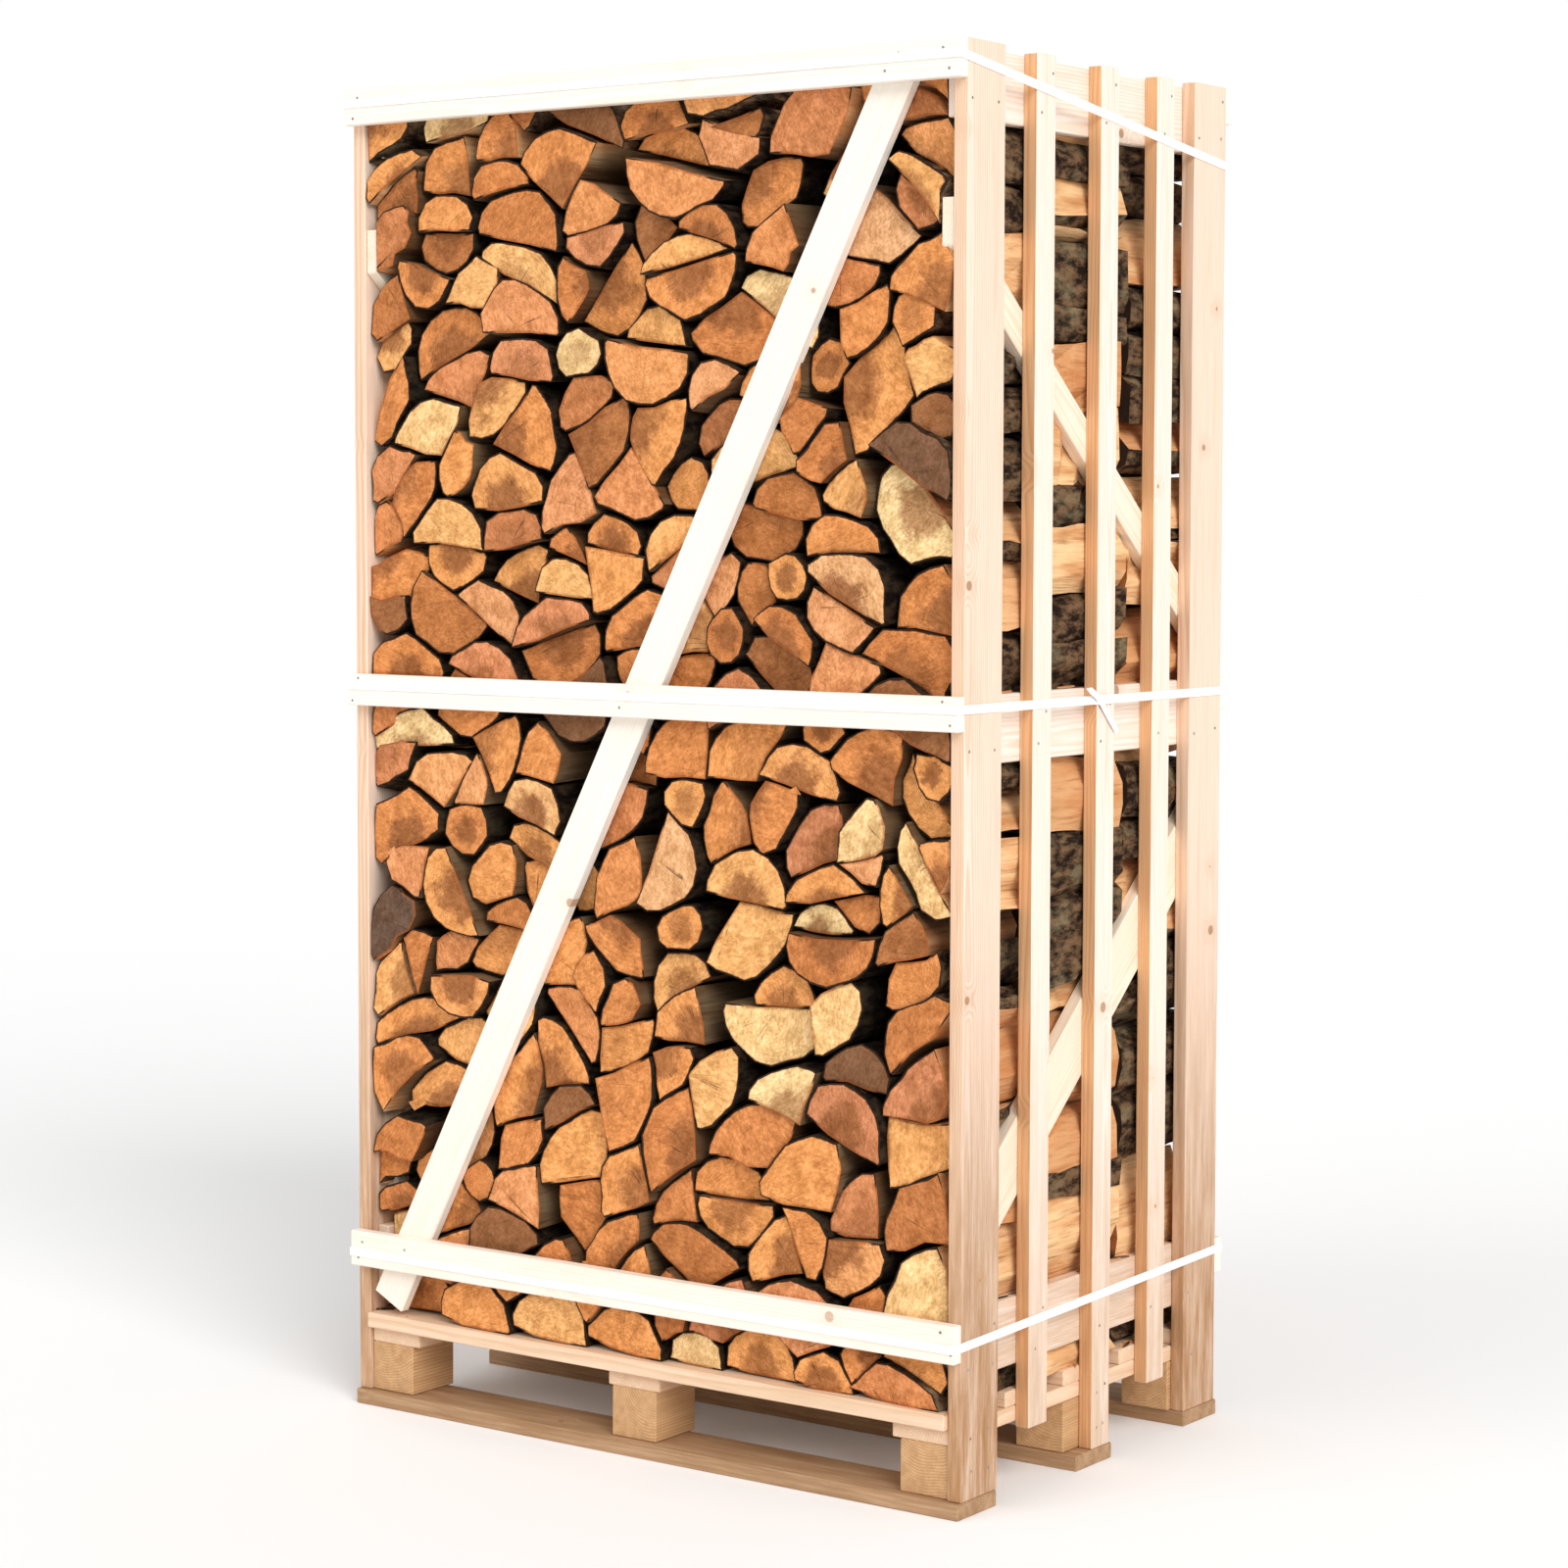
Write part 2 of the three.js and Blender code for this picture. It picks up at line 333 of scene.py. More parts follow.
# Slats. Three narrow upright laths a side are nailed outside the cross boards, between the
# posts. The middle one runs down to its skid, and the others stop beside the stringboard.
slat_wood = sawn_timber(
    "Slat timber", pale=(254, 240, 228), late=(238, 202, 168), knot=(164, 116, 78),
    weathered=(196, 154, 112), ring_depth=0.45, dirt=((0.05, 0.75), (0.8, 0.08)))
# The narrow sides take a warmer, darker copy of the face timber: partly their own edge grain,
# partly painted warm bounce light.
slat_edge = sawn_timber(
    "Slat timber edge", pale=(244, 194, 146), late=(216, 154, 100), knot=(140, 92, 58),
    weathered=(184, 136, 92), ring_depth=0.65, dirt=((0.05, 0.8), (0.9, 0.25)))
for side in ("left", "right"):
    for number in (1, 2, 3):
        board(f"slat_{side}_{number}", "side_timber", slat_wood, slat_edge)


# Cross boards. Three boards a side run from front to back at the foot, the middle and the top,
# and the posts and slats are nailed to them. They stop short of the laths of both faces.
for height in ("lower", "middle", "upper"):
    for side in ("left", "right"):
        board(f"cross_board_{height}_{side}", "side_timber", slat_wood)


# Side braces. Two sawn boards a side slope between the cross boards, nailed inside the posts
# and slats. Their ends are cut plumb, against the posts.
def turned_along(run, through):
    """Turns a board that lies along X to lie along run, with its thickness along through."""
    along = run.normalized()
    return Matrix((along, through.cross(along), through)).transposed().to_4x4()


def sloping_board(node, wide, front_end, rear_end):
    """A brace between two points, y and z, of its centre line, with plumb ends."""
    low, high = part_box(node)
    ends = [Vector(((low.x + high.x) / 2, *end)) for end in (front_end, rear_end)]
    run = ends[1] - ends[0]
    turn = turned_along(run, Vector((1, 0, 0)))
    place = Matrix.Translation((ends[0] + ends[1]) / 2) @ turn
    plumb = turn.inverted() @ Vector((0, 1, 0))
    half = abs(run.y) / 2
    sign = 1 if run.y > 0 else -1
    trim = [(plumb * half * end, plumb * end) for end in (sign, -sign)]
    bm = plank((run.length + wide * 2, wide, high.x - low.x), place, trim)
    return finish_piece(node + "_sawn", bm, [brace_wood], "side_timber", node)


brace_wood = sawn_timber(
    "Side brace timber", pale=(253, 240, 220), late=(238, 206, 170), knot=(150, 100, 62),
    weathered=(222, 190, 152), ring_depth=0.45, dirt=((0.2, 0.3), (1.0, 0.1)))
lower_front, brace_rear = (edge.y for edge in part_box("side_brace_lower_right"))
upper_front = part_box("side_brace_upper_right")[0].y
SIDE_BRACES = {  # the width, and the y and z of both ends of the centre line
    "lower": (0.088, (lower_front, 0.372), (brace_rear, 0.955)),
    "upper": (0.052, (upper_front, 1.839), (brace_rear, 1.240))}
for side in ("left", "right"):
    for height, (wide, front_end, rear_end) in SIDE_BRACES.items():
        sloping_board(f"side_brace_{height}_{side}", wide, front_end, rear_end)


# Laths. Three planed-looking white laths a face close the front and the back. They are nailed
# over the edges of the posts and hold the log ends in.
lath_wood = sawn_timber(
    "Lath timber", pale=(255, 250, 240), late=(248, 226, 200), knot=(186, 132, 92),
    weathered=(244, 222, 200), ring_depth=0.4, dirt=((0.1, 0.45), (0.9, 0.05)))
for face in ("front", "back"):
    for height in ("lower", "middle", "upper"):
        board(f"{face}_lath_{height}", "lath_timber", lath_wood)


# Face braces. One long white batten a face slopes from the foot of one side to the top of the
# other, behind the laths. It is nailed to them and cut square at both ends.
FACE_BRACE_LOW = (-0.514, 0.172)  # x and z of the ends of its centre line, as on the front
FACE_BRACE_HIGH = (0.467, 2.073)
FACE_BRACE_WIDE = 0.062
for face, turn_to in (("front", 1), ("back", -1)):
    low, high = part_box(f"{face}_brace")
    run = Vector(((FACE_BRACE_HIGH[0] - FACE_BRACE_LOW[0]) * turn_to, 0,
                  FACE_BRACE_HIGH[1] - FACE_BRACE_LOW[1]))
    place = Matrix.Translation((low + high) / 2) @ turned_along(run, Vector((0, 1, 0)))
    bm = plank((run.length, FACE_BRACE_WIDE, high.y - low.y), place)
    finish_piece(f"{face}_brace_sawn", bm, [lath_wood], "lath_timber", f"{face}_brace")


# Nails. Flat-headed wire nails hold every joint. They are driven nearly flush, so that only the
# dull grey heads show, with a little rust here and there.
NAIL_RADIUS = 0.0028
NAIL_HEAD = 0.0012
NAIL_SPREAD = 0.003  # how far from its mark a nail may go in


def nail_steel():
    """Dull steel wire, with rust in patches."""
    steel, tree, shader = new_finish("Nail steel")
    place = add_node(tree, "ShaderNodeTexCoord").outputs["Object"]
    rust = ease(tree, speckle(tree, place, 60.0, 3.0), 0.45, 0.7)
    colour = blend_colour(tree, rust, linear(176, 172, 166), linear(140, 104, 80))
    plug_in(tree, shader, {"Base Color": colour, "Roughness": ease(tree, rust, 0.0, 1.0, 0.4, 0.75),
                           "Metallic": ease(tree, rust, 0.0, 1.0, 0.9, 0.2)})
    return steel


nails = bmesh.new()


def drive_nail(place, outward):
    """One nail head that stands 0.4 mm proud of the wood."""
    outward = Vector(outward)
    jitter = Vector([chance.gauss(0, NAIL_SPREAD) for _ in range(3)])
    place = Vector(place) + jitter - outward * jitter.dot(outward)
    turn = outward.to_track_quat("Z", "Y").to_matrix().to_4x4()
    bmesh.ops.create_cone(nails, cap_ends=True, segments=10, radius1=NAIL_RADIUS,
                          radius2=NAIL_RADIUS * 0.75, depth=NAIL_HEAD,
                          matrix=Matrix.Translation(place - outward * 0.0002) @ turn)


for side, way in (("left", -1), ("right", 1)):
    for line in ("front_1", "rear_1", "slat_1", "slat_2", "slat_3"):
        kind, number = line.split("_")
        upright = f"slat_{side}_{number}" if kind == "slat" else f"post_{kind}_{side}"
        low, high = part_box(upright)
        face = high.x if way > 0 else low.x
        middle, reach = (low.y + high.y) / 2, (high.y - low.y) / 2 - 0.014
        for height in ("lower", "middle", "upper"):
            foot, top = (corner.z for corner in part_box(f"cross_board_{height}_{side}"))
            drive_nail((face, middle - reach, foot + 0.022), (way, 0, 0))
            drive_nail((face, middle + reach, top - 0.022), (way, 0, 0))
            if kind != "slat":
                drive_nail((face, middle + reach * 0.9, foot + 0.026), (way, 0, 0))
        if low.z < 0.05:
            for z in (0.055, 0.112):
                drive_nail((face, middle - reach * 0.7, z), (way, 0, 0))
                drive_nail((face, middle + reach * 0.7, z + 0.006), (way, 0, 0))
for face, way in (("front", -1), ("back", 1)):
    for height in ("lower", "middle", "upper"):
        low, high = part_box(f"{face}_lath_{height}")
        y, middle = (low.y if way < 0 else high.y), (low.z + high.z) / 2
        crossing = FACE_BRACE_LOW[0] + (FACE_BRACE_HIGH[0] - FACE_BRACE_LOW[0]) * (
            (middle - FACE_BRACE_LOW[1]) / (FACE_BRACE_HIGH[1] - FACE_BRACE_LOW[1]))
        for x in (low.x + 0.012, high.x - 0.012):
            drive_nail((x, y, middle - 0.015), (0, way, 0))
            drive_nail((x - math.copysign(0.014, x), y, middle + 0.014), (0, way, 0))
        drive_nail((-way * crossing - 0.012, y, middle - 0.01), (0, way, 0))
        drive_nail((-way * crossing + 0.012, y, middle + 0.01), (0, way, 0))
for side in ("left", "middle", "right"):
    middle = sum(corner.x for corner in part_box(f"stringboard_{side}")) / 2
    for number in range(1, 6):
        low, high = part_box(f"deck_board_{number}")
        for x, y in ((-0.025, 0.03), (0.025, -0.03)):
            drive_nail((middle + x, (low.y + high.y) / 2 + y, high.z), (0, 0, 1))
finish_piece("wire_nails", nails, [nail_steel()], "nail_steel")


# Straps. Three woven-look white plastic bands are pulled tight round the crate by a machine,
# and welded to themselves. The upper one slopes down to the back.
def strap_plastic():
    """Glossy white band, embossed with fine slanting ribs, with a little dust."""
    band, tree, shader = new_finish("Strap plastic")
    place = add_node(tree, "ShaderNodeTexCoord").outputs["Object"]
    wave = {"Vector": place, "Scale": 130.0, "Distortion": 0.0}
    ribs = add_node(tree, "ShaderNodeTexWave", wave, bands_direction="DIAGONAL").outputs["Fac"]
    dust = speckle(tree, place, 9.0, 4.0)
    colour = blend_colour(tree, ease(tree, dust, 0.4, 0.8), linear(253, 253, 252),
                          linear(240, 239, 236))
    plug_in(tree, shader, {"Base Color": colour, "Normal": relief(tree, ribs, 0.3, 0.0003),
                           "Roughness": 0.35})
    return band


strap_white = strap_plastic()
for height in ("lower", "middle", "upper"):
    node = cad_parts[f"strap_{height}"]
    node.data.materials.clear()
    node.data.materials.append(strap_white)


# Strap tail. The middle band is welded to itself on the right side. Its cut end stands off the
# slat as a short pointed tail, and a pressed patch shows where the two layers are welded.
TAIL_WIDE = 0.010
WELD_WIDE = 0.014
WELD_STEPS = 12
BAND_THICK = 0.0008


def strap_piece(name, points, width, pointed):
    """A short flat band on the right side, along points of x, y and z."""
    bm = bmesh.new()
    bmesh.ops.create_grid(bm, x_segments=len(points) - 1, y_segments=2, size=0.5)
    spots = [Vector(point) for point in points]
    for v in bm.verts:
        along = min(len(spots) - 1, round((v.co.x + 0.5) * (len(spots) - 1)))
        before, after = spots[max(0, along - 1)], spots[min(len(spots) - 1, along + 1)]
        across = Vector((1, 0, 0)).cross(after - before).normalized()
        narrow = 0.12 if pointed and along == len(spots) - 1 else 1.0
        v.co = spots[along] + across * v.co.y * width * narrow
    bmesh.ops.recalc_face_normals(bm, faces=bm.faces)
    bmesh.ops.solidify(bm, geom=bm.faces, thickness=BAND_THICK)
    bmesh.ops.recalc_face_normals(bm, faces=bm.faces)
    return finish_piece(name, bm, [strap_white], "strap_plastic")


strap_low, strap_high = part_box("strap_middle")
band_x = strap_high.x
tail_z = (strap_low.z + strap_high.z) / 2
strap_piece("strap_tail", [
    (band_x + 0.0012, 0.046, tail_z - 0.050), (band_x + 0.0020, 0.030, tail_z - 0.036),
    (band_x + 0.0014, 0.010, tail_z - 0.016), (band_x + 0.0012, -0.006, tail_z),
    (band_x + 0.0030, -0.022, tail_z + 0.009), (band_x + 0.0065, -0.040, tail_z + 0.015),
    (band_x + 0.0110, -0.060, tail_z + 0.019)], TAIL_WIDE, True)
strap_piece("strap_weld", [
    (band_x + 0.0009 + 0.0003 * (step % 2), 0.030 - step * 0.004, tail_z)
    for step in range(WELD_STEPS)], WELD_WIDE, False)


# Logs. Split hardwood, cut to one length and stacked by hand in three rows, ends to the front.
# Each log keeps its bark on one side. They are loose, and only the crate holds them.
def end_grain():
    """The sawn ends: rings and a dark heart, fine cracks, a tone for each log, and painted shade
    along the rim.
    """
    ends, tree, shader = new_finish("Log ends")
    heart = painted(tree, "heart", "Vector")
    tone = painted(tree, "tone")
    place = add_node(tree, "ShaderNodeTexCoord").outputs["Object"]
    parts = add_node(tree, "ShaderNodeSeparateXYZ", {0: heart}).outputs
    out = from_centre(tree, parts[0], parts[1])

    ramp = add_node(tree, "ShaderNodeValToRGB", {"Fac": tone})
    stops = ((0.0, (98, 78, 66)), (0.02, (146, 100, 66)), (0.07, (196, 124, 70)),
             (0.22, (222, 142, 82)), (0.5, (238, 158, 92)), (0.78, (248, 174, 104)),
             (0.93, (252, 194, 126)), (1.0, (254, 218, 158)))
    marks = ramp.color_ramp.elements
    for position, colour in stops[1:-1]:
        marks.new(position).color = linear(*colour)
    marks[0].color = linear(*stops[0][1])
    marks[-1].color = linear(*stops[-1][1])

    other = maths(tree, "FRACT", maths(tree, "MULTIPLY", tone, 7.3))
    colour = blend_colour(tree, ease(tree, other, 0.7, 1.0, 0.0, 0.45), ramp.outputs[0],
                          linear(226, 152, 120))
    cloud = speckle(tree, heart, 2.2, 5.0, 0.7)
    stain_reach = maths(tree, "MULTIPLY_ADD", cloud, 1.1, out)
    strength = ease(tree, maths(tree, "FRACT", maths(tree, "MULTIPLY", tone, 13.7)), 0.35, 0.8)
    stain = maths(tree, "MULTIPLY", ease(tree, stain_reach, 1.25, 0.95, 0.0, 0.85), strength)
    colour = blend_colour(tree, stain, colour, linear(158, 98, 56))

    ring = maths(tree, "FRACT", maths(tree, "MULTIPLY", maths(
        tree, "MULTIPLY_ADD", cloud, 0.22, out), 15.0))
    late = maths(tree, "MULTIPLY", ease(tree, ring, 0.2, 0.9), ease(tree, ring, 1.0, 0.92))
    faint = ease(tree, speckle(tree, place, 23.0, 2.0), 0.4, 0.7, 0.02, 0.22)
    colour = blend_colour(tree, maths(tree, "MULTIPLY", late, faint), colour, linear(150, 84, 42))

    angle = maths(tree, "MULTIPLY", other, math.pi)
    fibres = add_node(tree, "ShaderNodeVectorRotate", {"Vector": heart, "Angle": angle},
                      rotation_type="Z_AXIS").outputs[0]
    saw = speckle(tree, stretch(tree, fibres, 16.0, 8.0, 3.0), 1.0, 8.0, 0.85)
    mottle = speckle(tree, place, 36.0, 6.0, 0.75)
    shade = maths(tree, "MULTIPLY", ease(tree, saw, 0.32, 0.68, 1.26, 0.66),
                  ease(tree, mottle, 0.35, 0.68, 1.1, 0.72))
    tint = add_node(tree, "ShaderNodeCombineColor", {
        0: shade, 1: maths(tree, "POWER", shade, 1.25), 2: maths(tree, "POWER", shade, 1.7)})
    colour = blend_colour(tree, 1.0, colour, tint.outputs[0], "MULTIPLY")
    rim = painted(tree, "rim")
    barky = painted(tree, "barky")
    # Painted shade: the end darkens to deep orange across the rim band towards its outline, broken
    # up by the mottle.
    rim = maths(tree, "MULTIPLY_ADD", maths(tree, "SUBTRACT", mottle, 0.5), 0.9, rim)
    colour = blend_colour(tree, ease(tree, rim, 0.1, 0.9, 0.0, 0.7), colour, linear(160, 84, 36))
    bark_edge = maths(tree, "MULTIPLY", ease(tree, rim, 0.4, 0.6), ease(tree, barky, 0.3, 0.6))
    colour = blend_colour(tree, bark_edge, colour, linear(48, 31, 19))

    way = add_node(tree, "ShaderNodeVectorMath", {0: stretch(tree, heart, 1.0, 1.0, 0.0)},
                   operation="NORMALIZE").outputs[0]
    own = stretch(tree, heart, 0.0, 0.0, 7.0)
    turned = add_node(tree, "ShaderNodeVectorMath", {0: way, 1: own}, operation="ADD").outputs[0]
    spoke = maths(tree, "ABSOLUTE", maths(tree, "SUBTRACT", speckle(tree, turned, 2.6, 1.0), 0.5))
    wander = maths(tree, "MULTIPLY", speckle(tree, heart, 5.0, 2.0), 0.012)
    crack = ease(tree, maths(tree, "ADD", spoke, wander), 0.010, 0.006)
    crack = maths(tree, "MULTIPLY", crack, ease(tree, stain_reach, 1.35, 1.0))
    crack = maths(tree, "MULTIPLY", crack, 0.8)
    colour = blend_colour(tree, crack, colour, linear(70, 40, 22))

    height = maths(tree, "SUBTRACT", maths(tree, "MULTIPLY", saw, 0.8), crack)
    height = maths(tree, "MULTIPLY_ADD", late, 0.2, height)
    plug_in(tree, shader, {"Base Color": colour, "Normal": relief(tree, height, 0.7, 0.0018),
                           "Roughness": 0.85, "Specular IOR Level": 0.2})
    return ends


def depth_group():
    """How far a point is from the painted shade deep in the stack: 0 deep in the stack, 1 at the
    slats and on top.
    """
    tree = bpy.data.node_groups.new("Depth in stack", "ShaderNodeTree")
    tree.interface.new_socket(name="Place", in_out="INPUT", socket_type="NodeSocketVector")
    tree.interface.new_socket(name="Open", in_out="OUTPUT", socket_type="NodeSocketFloat")
    place = add_node(tree, "NodeGroupInput").outputs["Place"]
    parts = add_node(tree, "ShaderNodeSeparateXYZ", {0: place}).outputs
    beside = ease(tree, maths(tree, "ABSOLUTE", parts[0]), 0.485, 0.53)
    above = ease(tree, parts[2], 1.93, 2.0)
    add_node(tree, "NodeGroupOutput", {"Open": maths(tree, "MAXIMUM", beside, above)})
    return tree


depth_in_stack = depth_group()
# How dark the painted shade makes the hidden sides of the logs.
HIDDEN_SHADE = 0.2


def painted_depth_shade(tree, place, colour):
    """Darkens the sides of the logs inside the stack with painted shade, as though little light
    reached them between the logs.
    """
    effect = add_node(tree, "ShaderNodeGroup", {"Place": place}, node_tree=depth_in_stack)
    return darken(tree, colour, ease(tree, effect.outputs["Open"], 0.0, 1.0, HIDDEN_SHADE, 1.0))


def split_faces():
    """The split sides: torn fibres that run along the log."""
    split, tree, shader = new_finish("Split wood")
    place = add_node(tree, "ShaderNodeTexCoord").outputs["Object"]
    tone = painted(tree, "tone")
    fibre = speckle(tree, stretch(tree, place, 160.0, 9.0, 160.0), 1.0, 3.0, 0.6)
    wide = speckle(tree, stretch(tree, place, 34.0, 5.0, 34.0), 1.0, 3.0, 0.6)
    colour = blend_colour(tree, ease(tree, wide, 0.35, 0.7), linear(246, 202, 150),
                          linear(206, 146, 94))
    colour = blend_colour(tree, ease(tree, fibre, 0.5, 0.75, 0.0, 0.6), colour,
                          linear(140, 88, 50))
    colour = blend_colour(tree, ease(tree, tone, 0.6, 0.1, 0.0, 0.6), colour,
                          linear(190, 118, 66))
    # Painted shade: the split side is darker deep inside the stack.
    colour = painted_depth_shade(tree, place, colour)
    height = maths(tree, "MULTIPLY_ADD", wide, 1.5, fibre)
    plug_in(tree, shader, {"Base Color": colour, "Normal": relief(tree, height, 0.9, 0.004),
                           "Roughness": 0.9, "Specular IOR Level": 0.15})
    return split


def rough_bark():
    """Dark furrowed bark, with grey-green lichen here and there."""
    bark, tree, shader = new_finish("Bark")
    place = add_node(tree, "ShaderNodeTexCoord").outputs["Object"]
    plates = speckle(tree, stretch(tree, place, 70.0, 30.0, 70.0), 1.0, 5.0, 0.65)
    patch = speckle(tree, stretch(tree, place, 24.0, 10.0, 24.0), 1.0, 4.0, 0.65)
    colour = blend_colour(tree, ease(tree, plates, 0.38, 0.66), linear(34, 23, 17),
                          linear(122, 94, 68))
    colour = blend_colour(tree, ease(tree, patch, 0.5, 0.72, 0.0, 0.5), colour,
                          linear(152, 138, 106))
    # Painted shade: the bark is darker deep inside the stack.
    colour = painted_depth_shade(tree, place, colour)
    plug_in(tree, shader, {"Base Color": colour, "Normal": relief(tree, plates, 1.0, 0.006),
                           "Roughness": 0.95, "Specular IOR Level": 0.1})
    return bark


log_finishes = [end_grain(), split_faces(), rough_bark()]
stack = random.Random(3)  # draws the logs and how they are laid
COLUMN = 0.003  # the stack is measured in columns this wide
FAR = 9.0  # higher than any crate
LONG_EDGE = 0.034  # a split face longer than this gets extra corners to tear
TORN = 0.0035  # how far the split tears them out of line


def only_face(bm):
    """The one face of a flat billet."""
    return next(iter(bm.faces))


def split_billet():
    """The flat end of one log: a round slice with its heart at the origin, split with an axe.

    The edges that are still bark are marked as seams.
    """
    kind = stack.random()
    opening = math.radians(stack.uniform(72, 118))
    if kind < 0.36:  # half a trunk
        radius, cuts = stack.uniform(0.050, 0.082), [(stack.uniform(-0.15, 0.2), 0)]
    elif kind < 0.66:  # a quarter
        radius = stack.uniform(0.069, 0.115)
        cuts = [(stack.uniform(-0.05, 0.1), 0), (stack.uniform(-0.05, 0.1), math.pi - opening)]
    elif kind < 0.77:  # the outer slab of a trunk
        radius, cuts = stack.uniform(0.070, 0.103), [(-stack.uniform(0.22, 0.45), 0)]
    elif kind < 0.91:  # a wedge that has lost its point
        radius, opening = stack.uniform(0.080, 0.126), opening * 0.72
        cuts = [(0, 0), (0, math.pi - opening),
                (-stack.uniform(0.25, 0.4), (math.pi - opening) / 2 + stack.uniform(-0.3, 0.3))]
    elif kind < 0.96:  # a thin round
        radius, cuts = stack.uniform(0.027, 0.045), []
    else:  # a thin wedge
        radius, opening = stack.uniform(0.072, 0.1), opening * 0.4
        cuts = [(0, 0), (0, math.pi - opening)]
    bm = bmesh.new()
    upright = Matrix.Rotation(math.pi / 2, 4, "X")
    bmesh.ops.create_circle(bm, cap_ends=True, segments=max(12, round(radius * 250)),
                            radius=radius, matrix=upright)
    flat, lumps = stack.uniform(0.84, 1.0), Vector((stack.uniform(0, 50), 0, 0))
    for v in bm.verts:
        v.co *= 1 + 0.09 * noise.noise(v.co / radius * 1.2 + lumps)
        v.co.z *= flat
    for e in bm.edges:
        e.seam = True
    for share, lean in cuts:
        outward = Vector((math.sin(lean), 0, -math.cos(lean)))
        bmesh.ops.bisect_plane(bm, geom=everything(bm), plane_co=outward * share * radius,
                               plane_no=outward, clear_outer=True)
    bmesh.ops.subdivide_edges(bm, edges=[e for e in bm.edges if e.calc_length() > LONG_EDGE],
                              cuts=2)
    if len(bm.faces) > 1:
        bmesh.ops.dissolve_faces(bm, faces=bm.faces, use_verts=False)
    for v in bm.verts:
        torn = noise.noise_vector(v.co * 24 + lumps)
        v.co += Vector((torn.x, 0, torn.z)) * TORN
    lie = stack.choice((0, math.pi, 0, math.pi, 0, stack.uniform(0, 6.3)))  # most lie flat
    turn = lie + stack.gauss(0, 0.36)
    bmesh.ops.rotate(bm, matrix=Matrix.Rotation(turn, 3, "Y"), verts=bm.verts)
    ring = [loop.vert.co for loop in only_face(bm).loops]
    left = min(c.x for c in ring)
    count = max(2, math.ceil((max(c.x for c in ring) - left) / COLUMN))
    across = left + (np.arange(count) + 0.5) * COLUMN
    under, over = np.full(count, FAR), np.full(count, -FAR)
    for a, b in zip(ring, ring[1:] + ring[:1]):
        a, b = (a, b) if a.x < b.x else (b, a)
        inside = (across >= a.x - COLUMN / 2) & (across <= b.x + COLUMN / 2)
        z = a.z + np.clip((across[inside] - a.x) / max(b.x - a.x, 1e-6), 0, 1) * (b.z - a.z)
        under[inside], over[inside] = np.minimum(under[inside], z), np.maximum(over[inside], z)
    return {"bm": bm, "radius": radius, "left": left, "under": under, "over": over,
            "wood": float((over - under).sum() * COLUMN)}


SIDE_LAYER = 6  # columns between the row's box and the insides of the posts
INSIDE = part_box("post_front_right")[0].x - 0.001  # the furthest that a log may reach in x
BEHIND_LATHS = -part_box("front_brace")[0].y - 0.001  # and in y
row_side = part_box("logs_front_row")[1].x - 0.001  # and in x, beside a cross board or a brace
PILE = 90  # split logs that lie ready
TRIED = 36  # of these, how many are tried in each hollow
AIR_BETWEEN = 0.0018
NO_ROOM = 99


def stack_row(low, high):
    """Lays billets between the posts, each in the lowest hollow, where it leaves the least air."""
    left_wall = low.x - SIDE_LAYER * COLUMN
    tops = np.full(int((high.x - left_wall) / COLUMN) + SIDE_LAYER, low.z)
    shut = np.zeros(len(tops), bool)
    pile = [split_billet() for _ in range(PILE)]
    row = []
    while not shut.all():
        hollow = int(np.where(shut, FAR, tops).argmin())
        best = None
        for billet in stack.sample(pile, TRIED):
            count = len(billet["under"])
            first, last = max(0, hollow - count + 1), min(len(tops) - count, hollow)
            if last < first:
                continue
            ground = np.lib.stride_tricks.sliding_window_view(tops[first:last + count], count)
            rest = (ground - billet["under"]).max(1)
            air = (rest[:, None] + billet["under"] - ground).sum(1) * COLUMN
            roof = rest + billet["over"].max()
            score = air / billet["wood"] + 2.4 * (roof - tops.min()) - 22 * billet["wood"]
            score[roof > high.z] = NO_ROOM
            spot = int(score.argmin())
            if score[spot] < NO_ROOM and (best is None or score[spot] < best[0]):
                best = (score[spot], first + spot, rest[spot], billet)
        if best is None:
            shut[max(0, hollow - 3):hollow + 4] = True
            continue
        _, column, rest, billet = best
        pile.remove(billet)
        pile.append(split_billet())
        under_it = slice(column, column + len(billet["under"]))
        tops[under_it] = np.maximum(tops[under_it], rest + billet["over"] + AIR_BETWEEN)
        billet["heart"] = Vector((
            left_wall + column * COLUMN - billet["left"], 0, rest + AIR_BETWEEN / 2))
        bmesh.ops.translate(billet["bm"], verts=billet["bm"].verts, vec=billet["heart"])
        row.append(billet)
    for billet in pile:
        billet["bm"].free()
    return row


MARK_EVERY = 0.004
REACH = 0.02  # how far a log feels for its neighbours
SWELL = 0.0024  # the most it grows in one round
LOOSE_RIM = 2.5  # times more at the slats and on top, where nothing presses back


